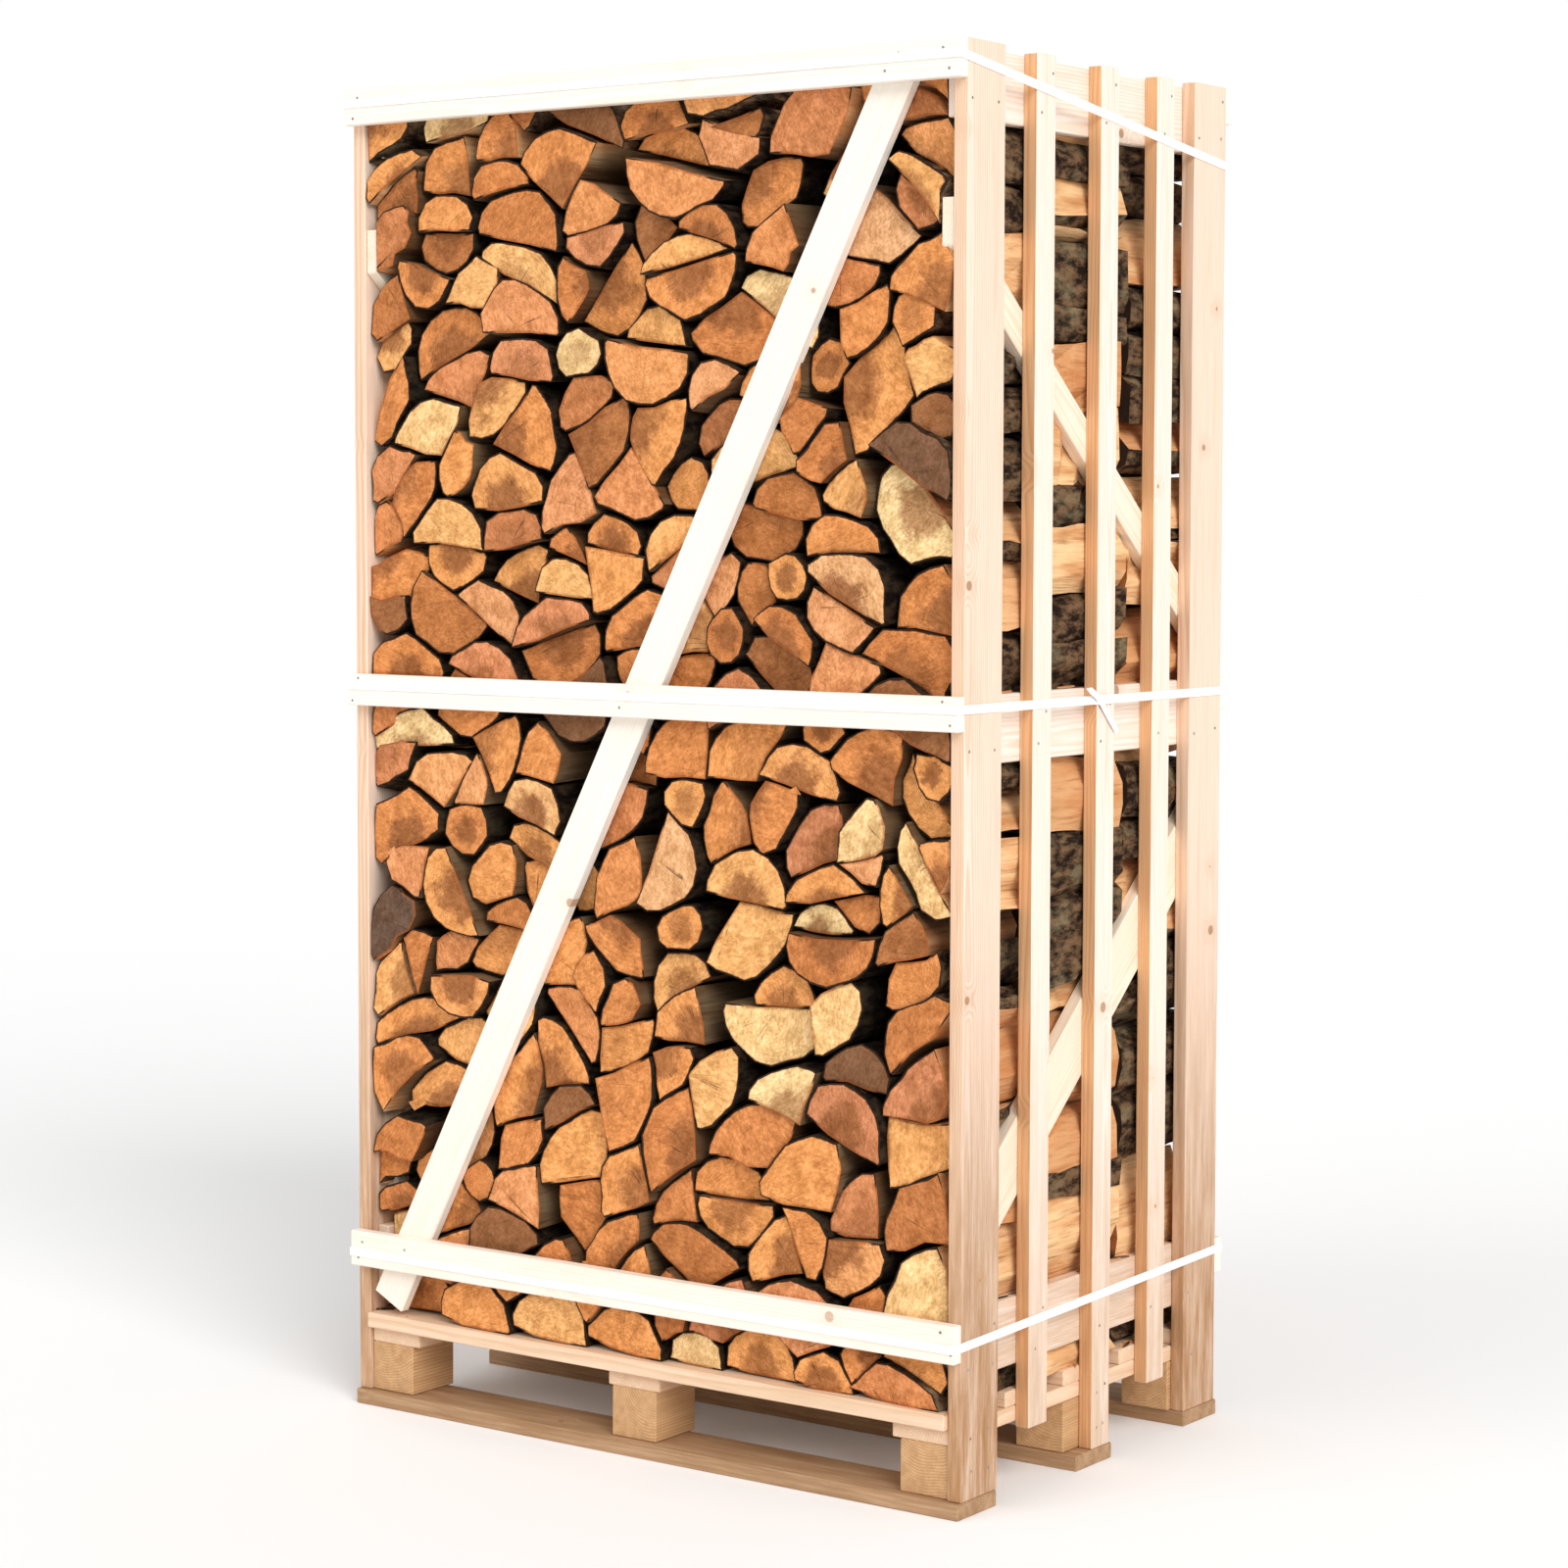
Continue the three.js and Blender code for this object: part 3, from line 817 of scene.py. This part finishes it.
def press_together(row, low, high, gap, most):
    """Lets the logs swell into the hollows round them, until only thin gaps are left.

    No corner moves further than most, or LOOSE_RIM times that at the rim.
    """
    rings = [[loop.vert for loop in only_face(billet["bm"]).loops] for billet in row]
    starts = [[v.co.copy() for v in ring] for ring in rings]
    for _ in range(6):
        marks = []
        for index, ring in enumerate(rings):
            for a, b in zip(ring, ring[1:] + ring[:1]):
                steps = max(1, math.ceil((a.co - b.co).length / MARK_EVERY))
                marks += [(a.co.lerp(b.co, i / steps), index) for i in range(steps)]
        near = kdtree.KDTree(len(marks))
        for number, (spot, _) in enumerate(marks):
            near.insert(spot, number)
        near.balance()
        for index, ring in enumerate(rings):
            moved = []
            befores, afters = ring[-1:] + ring, ring[1:] + ring[:1]
            for before, v, after, start in zip(befores, ring, afters, starts[index]):
                out = (after.co - before.co).cross(Vector((0, -1, 0))).normalized()
                others = [gap_to for _, number, gap_to in near.find_range(v.co, REACH)
                          if marks[number][1] != index]
                room = min(others, default=REACH) - gap
                at_rim = LOOSE_RIM if abs(v.co.x) > high.x - 0.07 or v.co.z > high.z - 0.05 else 1.0
                spot = v.co + out * min(SWELL * at_rim, room * 0.5)
                if (spot - start).length > most * at_rim:
                    spot = start + (spot - start).normalized() * most * at_rim
                spot.x = min(max(spot.x, -INSIDE), INSIDE)
                spot.z = min(max(spot.z, low.z + 0.0005), high.z)
                moved.append(spot)
            for v, spot in zip(ring, moved):
                v.co = spot


cross_boards = [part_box(f"cross_board_{height}_right") for height in ("lower", "middle", "upper")]
slopes = [(start, (end[1] - start[1]) / (end[0] - start[0]), wide)
          for wide, start, end in SIDE_BRACES.values()]


def beside_board(y, z, spare=0.018):
    """Whether a cross board or a side brace lies between that spot of the stack and the slats."""
    for foot, top in cross_boards:
        if foot.z - spare < z < top.z + spare and foot.y - 0.003 < y < top.y + 0.003:
            return True
    for start, slope, wide in slopes:
        upright = wide / 2 * math.hypot(1, slope)
        if abs(z - start[1] - (y - start[0]) * slope) < upright + spare and y > start[0] - spare:
            return True
    return False


# The painted shade on a sawn end darkens across this worn rim, towards the outline.
WORN_AND_SHADED_RIM = 0.0055  # the width of the worn edge of a sawn end
RIM_PROUD = 0.0012
TOP_LAYER = 1.97  # a log whose heart is higher lies open on top
HALF_WIDE, HALF_TALL, MID_HEIGHT = 0.53, 0.94, 1.1  # of the stack, at whose rim no log is bent


def add_to(total, bm):
    """Makes bm part of the whole piece."""
    scratch = bpy.data.meshes.new("scratch")
    bm.to_mesh(scratch)
    bm.free()
    total.from_mesh(scratch)
    bpy.data.meshes.remove(scratch)


def draw_out(billet, front, back, shown, total):
    """Pulls a flat billet out to a whole log, and adds it to its row.

    Only the shown end, at y of front or back, gets a worn rim, across which the end's painted edge
    shade falls.
    """
    bm, heart, radius = billet["bm"], billet["heart"], billet["radius"]
    seed, tone = stack.uniform(0, 100), stack.random()
    kinds = bm.faces.layers.int.new("kind")
    bmesh.ops.remove_doubles(bm, verts=bm.verts, dist=0.0045)
    bmesh.ops.translate(bm, verts=bm.verts, vec=(0, front, 0))
    grown = bmesh.ops.extrude_face_region(bm, geom=bm.faces[:], use_keep_orig=True)
    far_end = [v for v in grown["geom"] if isinstance(v, bmesh.types.BMVert)]
    bmesh.ops.translate(bm, verts=far_end, vec=(0, back - front, 0))
    bmesh.ops.recalc_face_normals(bm, faces=bm.faces)
    if bm.calc_volume(signed=True) < 0:
        bmesh.ops.reverse_faces(bm, faces=bm.faces)
    sides = [f for f in bm.faces if len({round(v.co.y, 5) for v in f.verts}) > 1]
    ends = [f for f in bm.faces if f not in set(sides)]
    for f in sides:
        rounded = [e for e in f.edges if e.seam and abs(e.verts[0].co.y - e.verts[1].co.y) < 1e-5]
        f[kinds] = 2 if rounded else 1
    rim = bm.verts.layers.float.new("rim")
    barky = bm.verts.layers.float.new("barky")
    for v in bm.verts:
        v[rim] = 1.0
        v[barky] = 1.0 if any(f[kinds] == 2 for f in v.link_faces) else 0.0
    face_of = [f for f in ends if shown is not None and abs(f.verts[0].co.y - shown) < 1e-5]
    bmesh.ops.inset_individual(bm, faces=face_of, thickness=WORN_AND_SHADED_RIM, depth=RIM_PROUD,
                               use_even_offset=False)
    for f in face_of:
        for v in f.verts:
            v[rim] = 0.0
    reaches_side = any(abs(v.co.x) > row_side - 0.012 for v in bm.verts)
    loose = 1.0 if reaches_side or heart.z > TOP_LAYER else 0.0
    steps = 5 if loose else 1
    for i in range(1, steps):
        point = (0, front + (back - front) * i / steps, 0)
        bmesh.ops.bisect_plane(bm, geom=everything(bm), plane_co=point, plane_no=(0, 1, 0))
    heart_mark = bm.verts.layers.float_vector.new("heart")
    tone_mark = bm.verts.layers.float.new("tone")
    for v in bm.verts:
        v[heart_mark] = ((v.co.x - heart.x) / radius, (v.co.z - heart.z) / radius, seed)
        v[tone_mark] = tone
    for f in bm.faces:
        f.material_index = f[kinds]
    lean = Vector((stack.gauss(0, 0.012), stack.gauss(0, 0.012 + 0.03 * loose)))
    tilt = Vector((stack.gauss(0, 0.06), stack.gauss(0, 0.06)))
    middle = (front + back) / 2
    for v in bm.verts:
        bend = noise.noise_vector(Vector((v.co.x * 7, v.co.y * 4, v.co.z * 7)))
        at_rim = max(abs(v.co.x) / HALF_WIDE, abs(v.co.z - MID_HEIGHT) / HALF_TALL)
        bend *= 1 - min(1, at_rim) ** 8
        torn = noise.noise_vector(v.co * 38 + Vector((seed, 0, 0)))
        v.co.x += bend.x * 0.012 + lean.x * (v.co.y - middle)
        v.co.z += bend.z * 0.010 + lean.y * (v.co.y - middle)
        v.co.y += tilt.x * (v.co.x - heart.x) + tilt.y * (v.co.z - heart.z)
        v.co += Vector((torn.x, torn.y * 0.4, torn.z)) * (0.0016 + 0.0036 * loose)
        wall = row_side if reaches_side and beside_board(v.co.y, v.co.z) else INSIDE
        wall -= 0.007 * loose * abs(noise.noise(v.co * 16))
        v.co.x = min(max(v.co.x, -wall), wall)
        v.co.y = min(max(v.co.y, -BEHIND_LATHS), BEHIND_LATHS)
    add_to(total, bm)


def clear_of_brace(billet, turn_to):
    """Whether the face brace passes the log by."""
    foot = Vector((FACE_BRACE_LOW[0] * turn_to, 0, FACE_BRACE_LOW[1]))
    run = Vector((FACE_BRACE_HIGH[0] * turn_to, 0, FACE_BRACE_HIGH[1])) - foot
    way, clear = run.normalized(), FACE_BRACE_WIDE * 0.6
    off = [(Vector((v.co.x, 0, v.co.z)) - foot).cross(way).y for v in billet["bm"].verts]
    return min(off) > clear or max(off) < -clear


PAST_BRACE = 0.017  # how much further out a log may stand where the face brace passes it by
for line in ("front", "middle", "rear"):
    low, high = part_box(f"logs_{line}_row")
    row = stack_row(low, high)
    # The middle row is pressed tighter, so that the crate can't be seen through.
    gap, most = (0.0016, 0.011) if line == "middle" else (0.0038, 0.004)
    press_together(row, low, high, gap, most)
    total = bmesh.new()
    for billet in row:
        set_back, hidden = abs(stack.gauss(0.003, 0.011)), stack.uniform(0.0, 0.012)
        if line != "middle" and clear_of_brace(billet, 1 if line == "front" else -1):
            set_back -= PAST_BRACE
        front, back, shown = low.y + hidden, high.y - set_back, high.y - set_back
        if line == "front":
            front, back, shown = low.y + set_back, high.y - hidden, low.y + set_back
        draw_out(billet, front, back, None if line == "middle" else shown, total)
    finish_piece(f"split_logs_{line}_row", total, log_finishes, "log_wood", f"logs_{line}_row")


# Splinters. Thin slivers of split wood and strips of bark fall off the logs, and lie on the ends
# of the deck boards and on the upper edges of the cross boards.
litter = bmesh.new()


def drop_sliver(place, length, wide, turned, finish):
    """One tapered sliver that lies at that place."""
    sliver = bmesh.new()
    bmesh.ops.create_cube(sliver, size=1, matrix=Matrix.Diagonal((wide, length, wide * 0.5, 1)))
    bmesh.ops.bisect_plane(sliver, geom=everything(sliver), plane_no=(0, 1, 0))
    for v in sliver.verts:
        v.co.x *= 1.0 if abs(v.co.y) < length * 0.1 else stack.uniform(0.2, 0.7)
        v.co.z += wide * stack.uniform(-0.1, 0.25)
    for f in sliver.faces:
        f.material_index = finish
    turn = Matrix.Rotation(turned, 4, "Z") @ Matrix.Rotation(stack.gauss(0, 0.03), 4, "X")
    bmesh.ops.transform(sliver, matrix=Matrix.Translation(place) @ turn, verts=sliver.verts)
    add_to(litter, sliver)


THINNEST, THICKEST = 0.002, 0.005  # how wide the slivers are
MOSTLY_SPLIT = (0, 0, 1)  # two slivers of split wood to each strip of bark
slat_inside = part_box("slat_right_1")[0].x
for way in (-1, 1):
    for number in range(1, 6):
        low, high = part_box(f"deck_board_{number}")
        for _ in range(4):
            wide = stack.uniform(THINNEST, THICKEST)
            place = (way * stack.uniform(slat_inside - 0.012, high.x - 0.006),
                     stack.uniform(low.y + 0.02, high.y - 0.02), high.z + wide * 0.3)
            drop_sliver(place, stack.uniform(0.02, 0.05), wide, stack.gauss(0, 0.6),
                        stack.choice(MOSTLY_SPLIT))
    for height in ("lower", "middle"):
        low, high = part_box(f"cross_board_{height}_right")
        for _ in range(12):
            wide = stack.uniform(THINNEST, THICKEST)
            place = (way * (low.x + high.x) / 2, stack.uniform(low.y + 0.05, high.y - 0.05),
                     high.z + wide * 0.3)
            drop_sliver(place, stack.uniform(0.02, 0.06), wide, stack.gauss(0, 0.2),
                        stack.choice(MOSTLY_SPLIT))
finish_piece("loose_splinters", litter, log_finishes[1:], "log_wood")


# Studio. A plain pale floor, an even white surround, and two soft suns. The surround is seen
# brighter than it shines, so that the background is white and the wood keeps its colours.
SURROUND_LIGHT = 0.58
floor_bm = bmesh.new()
bmesh.ops.create_grid(floor_bm, x_segments=1, y_segments=1, size=60)
floor_mesh = bpy.data.meshes.new("floor")
floor_bm.to_mesh(floor_mesh)
floor_bm.free()
floor = bpy.data.objects.new("floor", floor_mesh)
bpy.context.scene.collection.objects.link(floor)
floor_finish, floor_tree, floor_shader = new_finish("Floor")
plug_in(floor_tree, floor_shader, {
    "Base Color": (0.95, 0.95, 0.95, 1), "Emission Color": (1, 1, 1, 1),
    "Emission Strength": 0.04, "Roughness": 0.9})
floor_mesh.materials.append(floor_finish)

world = bpy.data.worlds.new("Studio")
bpy.context.scene.world = world
world.use_nodes = True
sky = world.node_tree
seen = add_node(sky, "ShaderNodeLightPath").outputs["Is Camera Ray"]
plug_in(sky, sky.nodes["Background"], {
    "Color": (1, 1, 1, 1), "Strength": ease(sky, seen, 0.0, 1.0, SURROUND_LIGHT, 1.0)})


def soft_sun(name, way, strength):
    """An even soft light that shines from that direction on everything."""
    lamp = bpy.data.lights.new(name, "SUN")
    lamp.energy = strength
    lamp.angle = math.radians(35)
    holder = bpy.data.objects.new(name, lamp)
    holder.rotation_euler = Vector(way).to_track_quat("Z", "Y").to_euler()
    bpy.context.scene.collection.objects.link(holder)


soft_sun("key_light", (0.8, -0.5, 0.6), 2.1)
soft_sun("fill_light", (-0.3, -0.75, 0.6), 0.5)

view = bpy.context.scene.view_settings
view.view_transform = "Standard"

# Camera. A long lens, out from the front right corner at chest height, that looks slightly down.
CAMERA_PLACE = (3.2849, -4.5797, 1.4423)
yaw, pitch, roll = (math.radians(a) for a in (35.676, -3.718, 0.128))
look = Vector((-math.sin(yaw) * math.cos(pitch), math.cos(yaw) * math.cos(pitch), math.sin(pitch)))
right = Vector((math.cos(yaw), math.sin(yaw), 0))
up = right.cross(look)
right, up = (right * math.cos(roll) + up * math.sin(roll),
             up * math.cos(roll) - right * math.sin(roll))
lens = bpy.data.cameras.new("camera")
lens.lens = 82.02
lens.sensor_width = 36
lens.shift_y = -0.03
lens.clip_end = 60
camera = bpy.data.objects.new("camera", lens)
camera.matrix_world = Matrix.Translation(CAMERA_PLACE) @ Matrix(
    (right, up, -look)).transposed().to_4x4()
bpy.context.scene.collection.objects.link(camera)
bpy.context.scene.camera = camera
